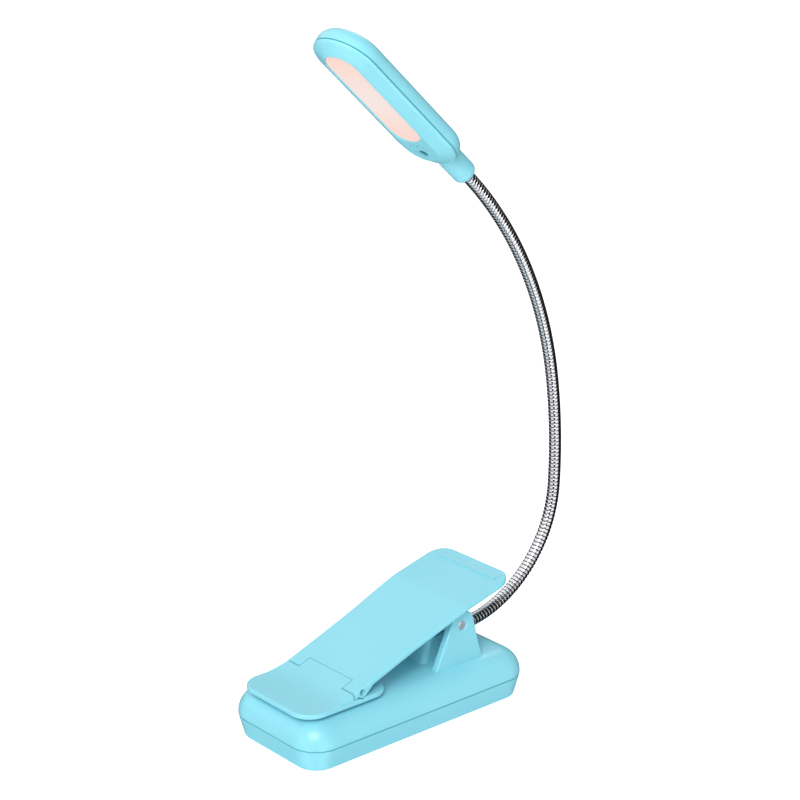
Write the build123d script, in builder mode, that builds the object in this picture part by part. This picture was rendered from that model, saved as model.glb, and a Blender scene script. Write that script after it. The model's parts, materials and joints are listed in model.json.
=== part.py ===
from build123d import *
import math
import os

os.makedirs("parts", exist_ok=True)

# Clip-on reading lamp, in millimetres. +X runs from the jaw to the gooseneck end,
# +Y to the far side, +Z up. The origin is at the centre of the resting face.

# ---- base: two shells that hold the battery and are the clip's lower jaw ----
base_length = 88.4
base_width = 41.6
base_height = 15.2
base_corner = 9.0
base_seam = 7.2
base_wall = 1.6
base_floor = 1.8
base_top_edge = 7.4
base_lean = 15.0
base_bottom_edge = 1.2
seam_groove = 0.2
boss_radius = 2.6
boss_inset_x = 7.5
boss_inset_y = 6.0

screw_radius = 1.0
screw_length = 8.0
screw_head_radius = 1.9
screw_head_height = 1.3
screw_clearance = 0.15
screw_sink = 1.9
screw_tip_room = 0.6
screw_cross = (2.2, 0.5)
screw_cross_depth = 0.7

# ---- bracket on the base: two ears, the tower between them, the main pin ----
pin_x = 21.0
pin_z = base_height + 12.5
pin_radius = 1.5
pin_inset = 0.3
pin_chamfer = 0.3
running_fit = 0.05
ear_thickness = 2.4
ear_outer = 14.0
ear_front_foot = 10.1
ear_front_shoulder = 17.4
ear_rear_shoulder = 25.6
ear_rear_foot = 29.3
ear_top_radius = 5.3
ear_front_rise = 3.5
ear_crown = (3.5, 3.4)
ear_rear_rise = 1.3
ear_rear_knee = (1.4, 4.9)
ear_corner = 1.6
ear_edge = 0.5
tower_half = 7.4
tower_front = 10.4
tower_front_top = 12.7
tower_rear = 29.2
tower_height = 8.2
tower_edge = 2.0

# ---- torsion springs on the main pin ----
spring_coil_radius = 3.6
spring_wire = 0.9
spring_leg_slack = 0.05
spring_coil_length = 5.0
spring_inset = 1.6
spring_base_leg = 7.6
spring_lever_leg = 14.0
spring_touch_gap = 0.1

# ---- lever ----
lever_thickness = 1.8
lever_bend_x = 19.5
lever_bend_z = base_height + 20.2
lever_bend_radius = 30.0
lever_front_pitch = 20.1
lever_rear_pitch = 14.2
lever_front_x = -23.9
lever_rear_x = 39.6
lever_front_half = 16.1
lever_rear_half = 17.0
lever_flare_start = -4.0
lever_rear_corner = 6.0
lever_edge = 0.6
lug_thickness = 1.9
lug_gap = 0.3
lug_boss = 3.2
lug_half_length = 7.5
thumb_rib_x = 34.3
thumb_rib_length = 2.9
thumb_rib_half = 13.4
thumb_rib_height = 0.5
thumb_rib_root = 0.3

# ---- jaw pad, hung on its own pin at the front of the lever ----
jaw_pin_x = -21.0
jaw_pin_z = base_height + 4.0
jaw_pin_radius = 0.8
jaw_pin_recess = 0.9
jaw_pin_recess_radius = 1.05
knuckle_radius = 1.7
knuckle_rear = 3.6
tongue_half = 10.1
tongue_gap = 0.25
tongue_back = 0.85
tongue_barrel = 1.6
tongue_root_angle = 53.0
pad_front = -42.8
pad_rear = -9.5
pad_half = 16.7
pad_corner = 7.0
pad_bottom = base_height + 1.1
pad_plate = 1.3
pad_edge = 0.5
wedge_half = 15.7
wedge_gap = 0.5
wedge_flank = 0.9
grip_thickness = 0.75
grip_inset = 3.0
grip_gap = 0.3
base_grip_length = 20.0
base_grip_width = 25.0
base_grip_depth = 0.5
base_grip_corner = 2.0
base_grip_fit = 0.1

# ---- gooseneck: a straight start and three bends, each a radius and an angle ----
neck_radius = 2.0
neck_z = base_height + 4.66
neck_straight = 3.8
neck_bends = [(39.9, 87.1), (177.4, 11.8), (123.1, 37.9)]
neck_joints = 8
neck_joint_gap = 2.1
neck_root_depth = 5.0
neck_fit = 0.03
ferrule_radius = 3.0
ferrule_length = 7.4
ferrule_proud = 0.6
ferrule_chamfer = 0.4

# ---- light head, carried in line with the end of the neck ----
head_offset = 2.5
head_roll = 6.1
head_length = 59.8
head_width = 21.3
head_back_depth = 5.5
head_back_edge = 4.0
head_front_depth = 2.85
head_side_band = 0.8
head_face_half = 6.1
head_face_edge = 3.0
head_band_edge = 0.9
head_wall = 1.6
head_pocket_width = 14.4
front_skin = 1.2
back_skin = 1.4
window_length = 41.0
window_width = 11.3
window_shift = 4.45
window_recess = 0.3
window_gap = 0.12
window_edge = 0.25
window_flange = 1.2
flange_thickness = 0.8
board_thickness = 1.0
board_top = -0.5
board_gap = 0.3
led_size = (2.8, 1.6, 0.7)
led_rows = 2
led_columns = 8
collar_radius = 3.7
collar_length = 10.5
collar_overlap = 2.6
collar_spigot_radius = 2.9
collar_spigot_length = 2.0
collar_round = 2.0
collar_bore_depth = 6.0
collar_fit = 0.03

# ---- switch and indicators ----
button_x = -21.6
button_radius = 1.45
button_gap = 0.12
button_edge = 0.3
button_recess = 0.55
button_flange = 0.7
button_flange_thickness = 0.5
button_rest_gap = 0.1
button_travel = 0.4
button_over_travel = 0.05
switch_size = 3.4
switch_height = 0.9
dot_x = -18.0
dot_spacing = 2.8
dot_radius = 0.32
dot_gap = 0.05
dot_bar_width = 1.4

# ---- electronics in the base ----
battery_size = (46.0, 24.0, 6.6)
battery_x = -8.5
battery_corner = 1.0
battery_edge = 1.5
battery_pad_thickness = 0.8
battery_pad_inset = (4.0, 3.0)
board_front = 17.6
board_under_port = 4.5
board_width = 22.0
board_thickness = 1.2
board_z = 3.2
board_post_radius = 1.1
board_post_inset = 2.0
chip_size = (4.0, 4.0, 1.0)
coil_size = (4.0, 4.0, 1.8)
coil_corner = 0.8
capacitor_size = (1.6, 0.8, 0.7)
capacitor_spacing = (2.4, 3.0)
components_shift = 3.0
components_spread = 6.0
port_size = (8.9, 9.0, 3.2)
port_wall = 0.35
port_back = 1.0
port_tongue = (6.4, 0.7)
port_tongue_inset = 0.6
port_clearance = 0.15
port_recess = 0.4
wire_radius = 0.5
wire_spacing = 1.3
wire_turn = 2.2
wire_channel_radius = 1.8
lead_overlap = 1.5
lead_spread = 1.3

# ---- places worked out from the sizes ----


def lever_top(x):
    """Height of the lever's upper face."""
    slope = lever_front_pitch if x < lever_bend_x else lever_rear_pitch
    return lever_bend_z + (x - lever_bend_x) * math.tan(math.radians(slope))


def lever_under(x):
    """Height of the lever's lower face."""
    slope = lever_front_pitch if x < lever_bend_x else lever_rear_pitch
    return lever_top(x) - lever_thickness / math.cos(math.radians(slope))


def neck_at(distance):
    """Point (x, z) and heading, in degrees, at a distance along the neck's centreline."""
    straight = min(distance, neck_straight)
    x, z, heading = tower_rear + straight, neck_z, 0.0
    distance -= straight
    for radius, turn in neck_bends:
        length = radius * math.radians(turn)
        first = math.radians(heading)
        last = first + min(max(distance, 0.0), length) / radius
        x += radius * (math.sin(last) - math.sin(first))
        z += radius * (math.cos(first) - math.cos(last))
        heading = math.degrees(last)
        distance -= length
    return x, z, heading


tower_top = base_height + tower_height
roof = base_height - base_floor
lug_outer = ear_outer - ear_thickness - lug_gap
tongue_end = jaw_pin_x + tongue_back
tongue_root_x = jaw_pin_x + tongue_barrel * math.cos(math.radians(tongue_root_angle))
tongue_root_z = jaw_pin_z - tongue_barrel * math.sin(math.radians(tongue_root_angle))
wedge_back = lever_front_x - wedge_gap
pad_top = pad_bottom + pad_plate
nose_under = max(lever_under(lever_front_x), pad_top)
pad_length = pad_rear - pad_front
pad_middle = (pad_rear + pad_front) / 2
base_grip_top = pad_bottom - grip_thickness - grip_gap
boss_x = base_length / 2 - boss_inset_x
boss_y = base_width / 2 - boss_inset_y
boss_spots = [(-boss_x, -boss_y), (-boss_x, boss_y), (boss_x, -boss_y), (boss_x, boss_y)]
board_length = base_length / 2 - port_recess - port_size[0] + board_under_port - board_front
board_size = (board_length, board_width, board_thickness)
board_x = board_front + board_length / 2
board_top_z = board_z + board_size[2]
port_z = board_top_z + port_size[2] / 2
port_opening = (port_size[1] + 2 * port_clearance, port_size[2] + 2 * port_clearance)
wire_x = tower_rear - ferrule_length - wire_turn + ferrule_proud

neck_length = neck_straight + sum(radius * math.radians(turn) for radius, turn in neck_bends)
neck_pitch = neck_length / neck_joints
neck_joint_places = [(k + 0.5) * neck_pitch for k in range(neck_joints)]
for place in neck_joint_places:
    print("neck joint", [round(value, 3) for value in neck_at(place)])

neck_end_x, neck_end_z, neck_end_heading = neck_at(neck_length)
end_angle = math.radians(neck_end_heading)
head_along = Vector(math.cos(end_angle), 0, math.sin(end_angle))
head_front = Vector(-math.sin(end_angle), 0, math.cos(end_angle))
neck_end = Vector(neck_end_x, 0, neck_end_z)
head_reach = collar_length + head_length / 2
head_middle = neck_end + head_along * head_reach + head_front * head_offset
roll_angle = math.radians(head_roll)
lit_way = head_front * math.cos(roll_angle) - Vector(0, 1, 0) * math.sin(roll_angle)
head_plane = Plane(origin=head_middle, x_dir=head_along, z_dir=lit_way)
collar_plane = Plane(origin=neck_end, x_dir=(0, 1, 0), z_dir=head_along)
print("head middle", head_middle, "along", head_plane.x_dir, "front", head_plane.z_dir)

head_straight = head_length - head_width
pocket_length = head_straight + head_pocket_width
pocket_top = head_front_depth - front_skin
inner_width = head_width - 2 * head_wall
inner_length = head_straight + inner_width
back_floor = -(head_back_depth - back_skin)
window_z = head_front_depth - window_recess
flange_bottom = pocket_top - flange_thickness
led_board_width = head_pocket_width - 2 * board_gap
led_board_neck = -head_length / 2 + collar_overlap + collar_spigot_length + board_gap
led_board_tip = pocket_length / 2 - board_gap
led_board_length = led_board_tip - led_board_neck
led_board_x = (led_board_tip + led_board_neck) / 2
reflector_length = window_length + 2 * window_flange
reflector_width = min(window_width + 2 * window_flange, led_board_width)
button_top = head_front_depth - button_recess
button_flange_top = pocket_top - button_rest_gap
switch_top = board_top + switch_height
button_foot = switch_top + button_travel + button_over_travel

# ======================= base =======================

with BuildPart() as base_bottom_shell:
    with BuildSketch(Plane.XY.offset(base_seam)):
        RectangleRounded(base_length, base_width, base_corner)
    extrude(amount=-base_seam, taper=base_lean)
    fillet(base_bottom_shell.faces().sort_by(Axis.Z)[0].edges(), base_bottom_edge)
    chamfer(base_bottom_shell.faces().sort_by(Axis.Z)[-1].edges(), seam_groove)
    with BuildSketch(Plane.XY.offset(base_seam)):
        RectangleRounded(base_length - 2 * base_wall, base_width - 2 * base_wall, base_corner - base_wall)
    extrude(amount=base_floor - base_seam, taper=base_lean, mode=Mode.SUBTRACT)
    with BuildSketch(Plane.XY.offset(base_floor)):
        with Locations(*boss_spots):
            Circle(boss_radius)
    extrude(amount=base_seam - base_floor)
    with Locations(*[(x, y, 0) for x, y in boss_spots]):
        Cylinder(
            screw_radius + screw_clearance, base_seam,
            align=(Align.CENTER, Align.CENTER, Align.MIN), mode=Mode.SUBTRACT,
        )
        Cylinder(
            screw_head_radius + screw_clearance, screw_sink,
            align=(Align.CENTER, Align.CENTER, Align.MIN), mode=Mode.SUBTRACT,
        )
    # four posts under the control board
    with BuildSketch(Plane.XY.offset(base_floor)):
        with Locations((board_x, 0)):
            with GridLocations(
                board_size[0] - 2 * board_post_inset, board_size[1] - 2 * board_post_inset, 2, 2
            ):
                Circle(board_post_radius)
    extrude(amount=board_z - base_floor)
    with BuildSketch(Plane.YZ.offset(base_length / 2 + 1)):
        with Locations((0, port_z)):
            SlotOverall(*port_opening)
    extrude(amount=-base_wall - 2, mode=Mode.SUBTRACT)

with BuildPart() as top_cavity:
    with BuildSketch(Plane.XY.offset(base_seam)):
        RectangleRounded(base_length - 2 * base_wall, base_width - 2 * base_wall, base_corner - base_wall)
    extrude(amount=roof - base_seam)
    fillet(top_cavity.faces().sort_by(Axis.Z)[-1].edges(), base_top_edge - base_wall)

with BuildPart() as base_top_shell:
    with BuildSketch(Plane.XY.offset(base_seam)):
        RectangleRounded(base_length, base_width, base_corner)
    extrude(amount=base_height - base_seam)
    fillet(base_top_shell.faces().sort_by(Axis.Z)[-1].edges(), base_top_edge)
    chamfer(base_top_shell.faces().sort_by(Axis.Z)[0].edges(), seam_groove)
    add(top_cavity.part, mode=Mode.SUBTRACT)
    # screw bosses that hang from the roof
    with BuildSketch(Plane.XY.offset(base_seam)):
        with Locations(*boss_spots):
            Circle(boss_radius)
    extrude(amount=roof - base_seam)
    with BuildSketch(Plane.XY.offset(base_seam)):
        with Locations(*boss_spots):
            Circle(screw_radius)
    extrude(amount=screw_length + screw_sink + screw_tip_room - base_seam, mode=Mode.SUBTRACT)
    # an ear on each side, round about the pin
    for ear_start in (ear_outer - ear_thickness, -ear_outer):
        with BuildSketch(Plane.XZ.offset(ear_start)):
            with BuildLine():
                Polyline(
                    (ear_front_foot, roof),
                    (ear_front_foot, base_height),
                    (ear_front_shoulder, pin_z + ear_front_rise),
                    (pin_x, pin_z + ear_top_radius),
                    (pin_x + ear_crown[0], pin_z + ear_crown[1]),
                    (ear_rear_shoulder, pin_z + ear_rear_rise),
                    (ear_rear_shoulder + ear_rear_knee[0], pin_z - ear_rear_knee[1]),
                    (ear_rear_foot, base_height),
                    (ear_rear_foot, roof),
                    close=True,
                )
            make_face()
            fillet(vertices().filter_by(lambda v: v.Y > base_height + 1), ear_corner)
        extrude(amount=ear_thickness)
    # the tower between the ears, which holds the neck
    with BuildSketch(Plane.XZ):
        Polygon(
            (tower_front, roof), (tower_front, base_height), (tower_front_top, tower_top),
            (tower_rear, tower_top), (tower_rear, roof), align=None,
        )
    extrude(amount=tower_half, both=True)
    fillet(
        base_top_shell.edges().filter_by(
            lambda e: abs(abs(e.center().Y) - tower_half) < 0.01
            and base_height + 0.5 < e.center().Z < tower_top - 0.5
            and e.center().X < tower_front_top
        ),
        tower_edge,
    )
    with BuildSketch(Plane.XZ.offset(ear_outer + 1)):
        with Locations((pin_x, pin_z)):
            Circle(pin_radius)
    extrude(amount=-2 * ear_outer - 2, mode=Mode.SUBTRACT)
    # soft edges on the ears
    fillet(
        base_top_shell.edges().filter_by(
            lambda e: abs(e.center().Y) > ear_outer - ear_thickness - 0.1
            and abs(e.tangent_at(0.5).Y) < 0.1
            and e.center().Z > base_height + 0.5
        ),
        ear_edge,
    )
    # seat of the neck's ferrule and the wire channel down into the base
    with BuildSketch(Plane.YZ.offset(tower_rear)):
        with Locations((0, neck_z)):
            Circle(ferrule_radius)
    extrude(amount=ferrule_proud - ferrule_length, mode=Mode.SUBTRACT)
    with BuildSketch(Plane.YZ.offset(tower_rear)):
        with Locations((0, neck_z)):
            Circle(wire_turn)
    extrude(amount=wire_x - wire_turn / 2 - tower_rear, mode=Mode.SUBTRACT)
    with BuildSketch(Plane.XY.offset(roof - 0.5)):
        with Locations((wire_x, 0)):
            Circle(wire_channel_radius)
    extrude(amount=neck_z - roof + 0.5, mode=Mode.SUBTRACT)
    # pocket for the grip strip
    with BuildSketch(Plane.XY.offset(base_height)):
        with Locations((pad_middle, 0)):
            RectangleRounded(base_grip_length, base_grip_width, base_grip_corner)
    extrude(amount=-base_grip_depth, mode=Mode.SUBTRACT)
    with BuildSketch(Plane.YZ.offset(base_length / 2 + 1)):
        with Locations((0, port_z)):
            SlotOverall(*port_opening)
    extrude(amount=-base_wall - 2, mode=Mode.SUBTRACT)

with BuildPart() as base_screws:
    with BuildSketch(Plane.XY.offset(screw_sink)):
        with Locations(*boss_spots):
            Circle(screw_radius)
    extrude(amount=screw_length)
    with BuildSketch(Plane.XY.offset(screw_sink)):
        with Locations(*boss_spots):
            Circle(screw_head_radius)
    extrude(amount=-screw_head_height)
    with BuildSketch(Plane.XY.offset(screw_sink - screw_head_height)):
        with Locations(*boss_spots):
            Rectangle(screw_cross[0], screw_cross[1])
            Rectangle(screw_cross[1], screw_cross[0])
    extrude(amount=screw_cross_depth, mode=Mode.SUBTRACT)

with BuildPart() as base_grip:
    with BuildSketch(Plane.XY.offset(base_height - base_grip_depth)):
        with Locations((pad_middle, 0)):
            RectangleRounded(
                base_grip_length - 2 * base_grip_fit, base_grip_width - 2 * base_grip_fit,
                base_grip_corner - base_grip_fit,
            )
    extrude(amount=base_grip_top - base_height + base_grip_depth)

with BuildPart() as battery_pad:
    with BuildSketch(Plane.XY.offset(base_floor)):
        with Locations((battery_x, 0)):
            Rectangle(
                battery_size[0] - 2 * battery_pad_inset[0], battery_size[1] - 2 * battery_pad_inset[1]
            )
    extrude(amount=battery_pad_thickness)

with BuildPart() as battery:
    with BuildSketch(Plane.XY.offset(base_floor + battery_pad_thickness)):
        with Locations((battery_x, 0)):
            RectangleRounded(battery_size[0], battery_size[1], battery_corner)
    extrude(amount=battery_size[2])
    fillet(battery.edges().filter_by(Axis.X), battery_edge)

with BuildPart() as control_board:
    with BuildSketch(Plane.XY.offset(board_z)):
        with Locations((board_x, 0)):
            Rectangle(board_size[0], board_size[1])
    extrude(amount=board_size[2])

with BuildPart() as board_components:
    with BuildSketch(Plane.XY.offset(board_top_z)):
        with Locations((board_x - components_shift, -components_spread)):
            Rectangle(chip_size[0], chip_size[1])
    extrude(amount=chip_size[2])
    with BuildSketch(Plane.XY.offset(board_top_z)):
        with Locations((board_x - components_shift, components_spread)):
            RectangleRounded(coil_size[0], coil_size[1], coil_corner)
    extrude(amount=coil_size[2])
    with BuildSketch(Plane.XY.offset(board_top_z)):
        with Locations((board_x - components_shift, 0)):
            with GridLocations(capacitor_spacing[0], capacitor_spacing[1], 2, 2):
                Rectangle(capacitor_size[0], capacitor_size[1])
    extrude(amount=capacitor_size[2])

with BuildPart() as charging_port:
    with BuildSketch(Plane.YZ.offset(base_length / 2 - port_recess)):
        with Locations((0, port_z)):
            SlotOverall(port_size[1], port_size[2])
    extrude(amount=-port_size[0])
    with BuildSketch(Plane.YZ.offset(base_length / 2 - port_recess)):
        with Locations((0, port_z)):
            SlotOverall(port_size[1] - 2 * port_wall, port_size[2] - 2 * port_wall)
    extrude(amount=port_back - port_size[0], mode=Mode.SUBTRACT)
    with BuildSketch(Plane.YZ.offset(base_length / 2 - port_recess - port_tongue_inset)):
        with Locations((0, port_z)):
            Rectangle(port_tongue[0], port_tongue[1])
    extrude(amount=port_tongue_inset + port_back - port_size[0])

with BuildPart() as neck_wires:
    for wire_y in (-wire_spacing / 2, wire_spacing / 2):
        with BuildLine(Plane.XZ.offset(-wire_y)) as wire_path:
            FilletPolyline(
                (wire_x, board_top_z),
                (wire_x, neck_z),
                (tower_rear - neck_root_depth, neck_z),
                radius=wire_turn - wire_radius,
            )
        with BuildSketch(Plane(origin=(wire_x, wire_y, board_top_z), z_dir=(0, 0, 1))):
            Circle(wire_radius)
        sweep(path=wire_path.wire())

with BuildPart() as battery_leads:
    for lead_y in (-lead_spread, lead_spread):
        with BuildSketch(Plane.YZ.offset(battery_x + battery_size[0] / 2)):
            with Locations((lead_y, board_top_z + wire_radius)):
                Circle(wire_radius)
        extrude(amount=board_x - board_size[0] / 2 + lead_overlap - battery_x - battery_size[0] / 2)

with BuildPart() as main_pin:
    with BuildSketch(Plane.XZ.offset(-ear_outer + pin_inset)):
        with Locations((pin_x, pin_z)):
            Circle(pin_radius)
    extrude(amount=2 * (ear_outer - pin_inset))
    chamfer(main_pin.edges(), pin_chamfer)

# ======================= springs =======================

# the lever leg ends just under the lever's rear arm
coil_mean = spring_coil_radius - spring_wire / 2
spring_leg_radius = spring_wire / 2 - spring_leg_slack
arm_height = (lever_under(pin_x) - pin_z) * math.cos(math.radians(lever_rear_pitch))
leg_rise = math.asin(
    (arm_height - spring_wire / 2 - spring_touch_gap) / math.hypot(coil_mean, spring_lever_leg)
) - math.atan2(coil_mean, spring_lever_leg)
lever_leg_angle = math.radians(lever_rear_pitch) + leg_rise

springs = []
for side in (-1, 1):
    with BuildPart() as spring:
        with BuildSketch(Plane.XZ.offset(-side * spring_inset)):
            with Locations((pin_x, pin_z)):
                Circle(spring_coil_radius)
                Circle(spring_coil_radius - spring_wire, mode=Mode.SUBTRACT)
        extrude(amount=-side * spring_coil_length)
        # the leg that bears on the tower
        with BuildSketch(
            Plane(
                origin=(pin_x, side * (spring_inset + spring_wire / 2), pin_z - coil_mean),
                z_dir=(-1, 0, 0),
            )
        ):
            Circle(spring_leg_radius)
        extrude(amount=spring_base_leg)
        # the leg that lifts the lever's rear arm
        leg_start = (
            pin_x - coil_mean * math.sin(lever_leg_angle),
            side * (spring_inset + spring_coil_length - spring_wire / 2),
            pin_z + coil_mean * math.cos(lever_leg_angle),
        )
        leg_way = (math.cos(lever_leg_angle), 0, math.sin(lever_leg_angle))
        with BuildSketch(Plane(origin=leg_start, z_dir=leg_way)):
            Circle(spring_leg_radius)
        extrude(amount=spring_lever_leg)
    springs.append(spring)
torsion_spring_near, torsion_spring_far = springs

# ======================= lever =======================

# the space over the lever's front, which trims the knuckles and the tongue flush
above_lever = [
    (lever_front_x - 2, lever_top(lever_front_x - 2)),
    (jaw_pin_x + knuckle_rear, lever_top(jaw_pin_x + knuckle_rear)),
    (jaw_pin_x + knuckle_rear, lever_top(jaw_pin_x + knuckle_rear) + 5),
    (lever_front_x - 2, lever_top(lever_front_x - 2) + 5),
]


def on_lever_rim(edge):
    """True for the outline edges of the lever's upper face and, behind the nose, its lower face."""
    middle = edge.center()
    outline = abs(middle.Y) > 1 or middle.X > lever_rear_x - 0.1
    upper = abs(middle.Z - lever_top(middle.X)) < 0.4
    lower = abs(middle.Z - lever_under(middle.X)) < 0.4 and middle.X > jaw_pin_x + knuckle_rear + 0.1
    return outline and abs(edge.tangent_at(0.5).Z) < 0.9 and (upper or lower)


with BuildPart() as lever:
    with BuildSketch(Plane.XZ):
        with BuildLine():
            Polyline(
                (lever_front_x, nose_under),
                (lever_front_x, lever_top(lever_front_x)),
                (lever_bend_x, lever_bend_z),
                (lever_rear_x, lever_top(lever_rear_x)),
                (lever_rear_x, lever_under(lever_rear_x)),
                (lever_bend_x, lever_under(lever_bend_x)),
                close=True,
            )
        make_face()
        fillet(vertices().filter_by(lambda v: abs(v.X - lever_bend_x) < 0.1), lever_bend_radius)
        # the nose that the jaw pin passes through
        with BuildLine():
            Polyline(
                (lever_front_x, lever_top(lever_front_x)),
                (jaw_pin_x - 0.77 * knuckle_radius, jaw_pin_z - 0.64 * knuckle_radius),
                (jaw_pin_x + 0.5 * knuckle_radius, jaw_pin_z - 0.86 * knuckle_radius),
                (jaw_pin_x + knuckle_rear, lever_under(jaw_pin_x + knuckle_rear)),
                (jaw_pin_x + knuckle_rear, lever_top(jaw_pin_x + knuckle_rear)),
                close=True,
            )
        make_face()
        with Locations((jaw_pin_x, jaw_pin_z)):
            Circle(knuckle_radius)
        Polygon(*above_lever, align=None, mode=Mode.SUBTRACT)
    extrude(amount=lever_rear_half, both=True)
    # plan outline: parallel at the front, flared, with round rear corners
    with BuildSketch():
        with BuildLine():
            flare_a = Spline(
                (lever_flare_start, lever_front_half), (lever_bend_x, lever_rear_half),
                tangents=((1, 0), (1, 0)),
            )
            Polyline((lever_bend_x, lever_rear_half), (lever_rear_x, lever_rear_half),
                     (lever_rear_x, -lever_rear_half), (lever_bend_x, -lever_rear_half))
            flare_b = Spline(
                (lever_bend_x, -lever_rear_half), (lever_flare_start, -lever_front_half),
                tangents=((-1, 0), (-1, 0)),
            )
            Polyline(
                (lever_flare_start, -lever_front_half), (lever_front_x - 1, -lever_front_half),
                (lever_front_x - 1, lever_front_half), (lever_flare_start, lever_front_half),
            )
        make_face()
        fillet(vertices().group_by(Axis.X)[-1], lever_rear_corner)
    extrude(amount=2 * lever_bend_z, mode=Mode.INTERSECT)
    fillet(lever.edges().filter_by(on_lever_rim), lever_edge)
    # lugs that turn on the main pin
    for lug_start in (lug_outer - lug_thickness, -lug_outer):
        with BuildSketch(Plane.XZ.offset(lug_start)):
            with BuildLine():
                Polyline(
                    (pin_x - lug_half_length, lever_under(pin_x - lug_half_length) + lever_thickness / 2),
                    (lever_bend_x, lever_under(lever_bend_x) + lever_thickness / 2),
                    (pin_x + lug_half_length, lever_under(pin_x + lug_half_length) + lever_thickness / 2),
                    (pin_x + lug_boss, pin_z),
                    (pin_x - lug_boss, pin_z),
                    close=True,
                )
            make_face()
            with Locations((pin_x, pin_z)):
                Circle(lug_boss)
                Circle(pin_radius + running_fit, mode=Mode.SUBTRACT)
        extrude(amount=lug_thickness)
    # slot for the pad's tongue
    with BuildSketch(Plane.XZ):
        with Locations((lever_front_x, jaw_pin_z)):
            Rectangle(
                tongue_end + tongue_gap - lever_front_x, 12, align=(Align.MIN, Align.CENTER)
            )
        with Locations((jaw_pin_x, jaw_pin_z)):
            Circle(tongue_barrel + tongue_gap)
    extrude(amount=tongue_half + tongue_gap, both=True, mode=Mode.SUBTRACT)
    # jaw pin hole with a shallow recess at each end
    with BuildSketch(Plane.XZ.offset(lever_front_half)):
        with Locations((jaw_pin_x, jaw_pin_z)):
            Circle(jaw_pin_radius)
    extrude(amount=-2 * lever_front_half, mode=Mode.SUBTRACT)
    for recess_start in (lever_front_half - jaw_pin_recess, -lever_front_half):
        with BuildSketch(Plane.XZ.offset(recess_start)):
            with Locations((jaw_pin_x, jaw_pin_z)):
                Circle(jaw_pin_recess_radius)
        extrude(amount=jaw_pin_recess, mode=Mode.SUBTRACT)
    # ramped rib for the thumb
    with BuildSketch(Plane.XZ):
        thumb_end = thumb_rib_x + thumb_rib_length
        Polygon(
            (thumb_rib_x, lever_top(thumb_rib_x) - thumb_rib_root),
            (thumb_rib_x, lever_top(thumb_rib_x) + thumb_rib_height),
            (thumb_end, lever_top(thumb_end)),
            (thumb_end, lever_top(thumb_end) - thumb_rib_root),
            align=None,
        )
    extrude(amount=thumb_rib_half, both=True)

# ======================= jaw pad =======================

with BuildPart() as jaw_wedge:
    rise = lever_top(wedge_back) - pad_top
    sweep_radius = rise / (1 - math.cos(math.radians(lever_front_pitch)))
    wedge_front = wedge_back - sweep_radius * math.sin(math.radians(lever_front_pitch))
    with BuildSketch(Plane.XZ):
        with BuildLine():
            TangentArc(
                (wedge_front, pad_top), (wedge_back, lever_top(wedge_back)), tangent=(1, 0)
            )
            Polyline(
                (wedge_back, lever_top(wedge_back)), (wedge_back, pad_bottom + pad_plate / 2),
                (wedge_front, pad_bottom + pad_plate / 2), (wedge_front, pad_top),
            )
        make_face()
    extrude(amount=pad_half, both=True)
    # the flanks lean in towards the top
    with BuildSketch(Plane.YZ.offset(wedge_front)):
        Polygon(
            (-wedge_half - wedge_flank, pad_bottom), (wedge_half + wedge_flank, pad_bottom),
            (wedge_half, lever_top(wedge_back)), (-wedge_half, lever_top(wedge_back)), align=None,
        )
    extrude(amount=wedge_back - wedge_front, mode=Mode.INTERSECT)

with BuildPart() as jaw_pad:
    with BuildSketch(Plane.XY.offset(pad_bottom)):
        with Locations((pad_middle, 0)):
            RectangleRounded(pad_length, 2 * pad_half, pad_corner)
    extrude(amount=pad_plate)
    fillet(jaw_pad.faces().sort_by(Axis.Z)[-1].edges(), pad_edge)
    add(jaw_wedge.part)
    # room for the lever's knuckles on both sides of the tongue
    for room_start in (tongue_half, -tongue_half - pad_half):
        with BuildSketch(Plane.XZ.offset(room_start)):
            with Locations((jaw_pin_x, jaw_pin_z)):
                Circle(knuckle_radius + tongue_gap)
        extrude(amount=pad_half, mode=Mode.SUBTRACT)
    # the tongue and its barrel
    with BuildSketch(Plane.XZ):
        Polygon(
            (wedge_back - 0.5, pad_bottom + pad_plate / 2), (wedge_back - 0.5, lever_top(wedge_back - 0.5)),
            (tongue_end, lever_top(tongue_end)), (jaw_pin_x + tongue_barrel, jaw_pin_z),
            (tongue_root_x, tongue_root_z), (tongue_root_x, pad_bottom + pad_plate / 2), align=None,
        )
        with Locations((jaw_pin_x, jaw_pin_z)):
            Circle(tongue_barrel)
        Polygon(*above_lever, align=None, mode=Mode.SUBTRACT)
    extrude(amount=tongue_half, both=True)
    with BuildSketch(Plane.XZ.offset(pad_half)):
        with Locations((jaw_pin_x, jaw_pin_z)):
            Circle(jaw_pin_radius + running_fit)
    extrude(amount=-2 * pad_half, mode=Mode.SUBTRACT)

with BuildPart() as jaw_grip:
    with BuildSketch(Plane.XY.offset(pad_bottom)):
        with Locations((pad_middle, 0)):
            RectangleRounded(pad_length - 2 * grip_inset, 2 * (pad_half - grip_inset), pad_corner - grip_inset)
    extrude(amount=-grip_thickness)

with BuildPart() as jaw_pin:
    with BuildSketch(Plane.XZ.offset(lever_front_half - jaw_pin_recess)):
        with Locations((jaw_pin_x, jaw_pin_z)):
            Circle(jaw_pin_radius)
    extrude(amount=-2 * (lever_front_half - jaw_pin_recess))

# ======================= gooseneck =======================


def neck_point(distance):
    """Point on the neck's centreline, in the middle plane."""
    x, z, heading = neck_at(distance)
    return Vector(x, 0, z)


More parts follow.
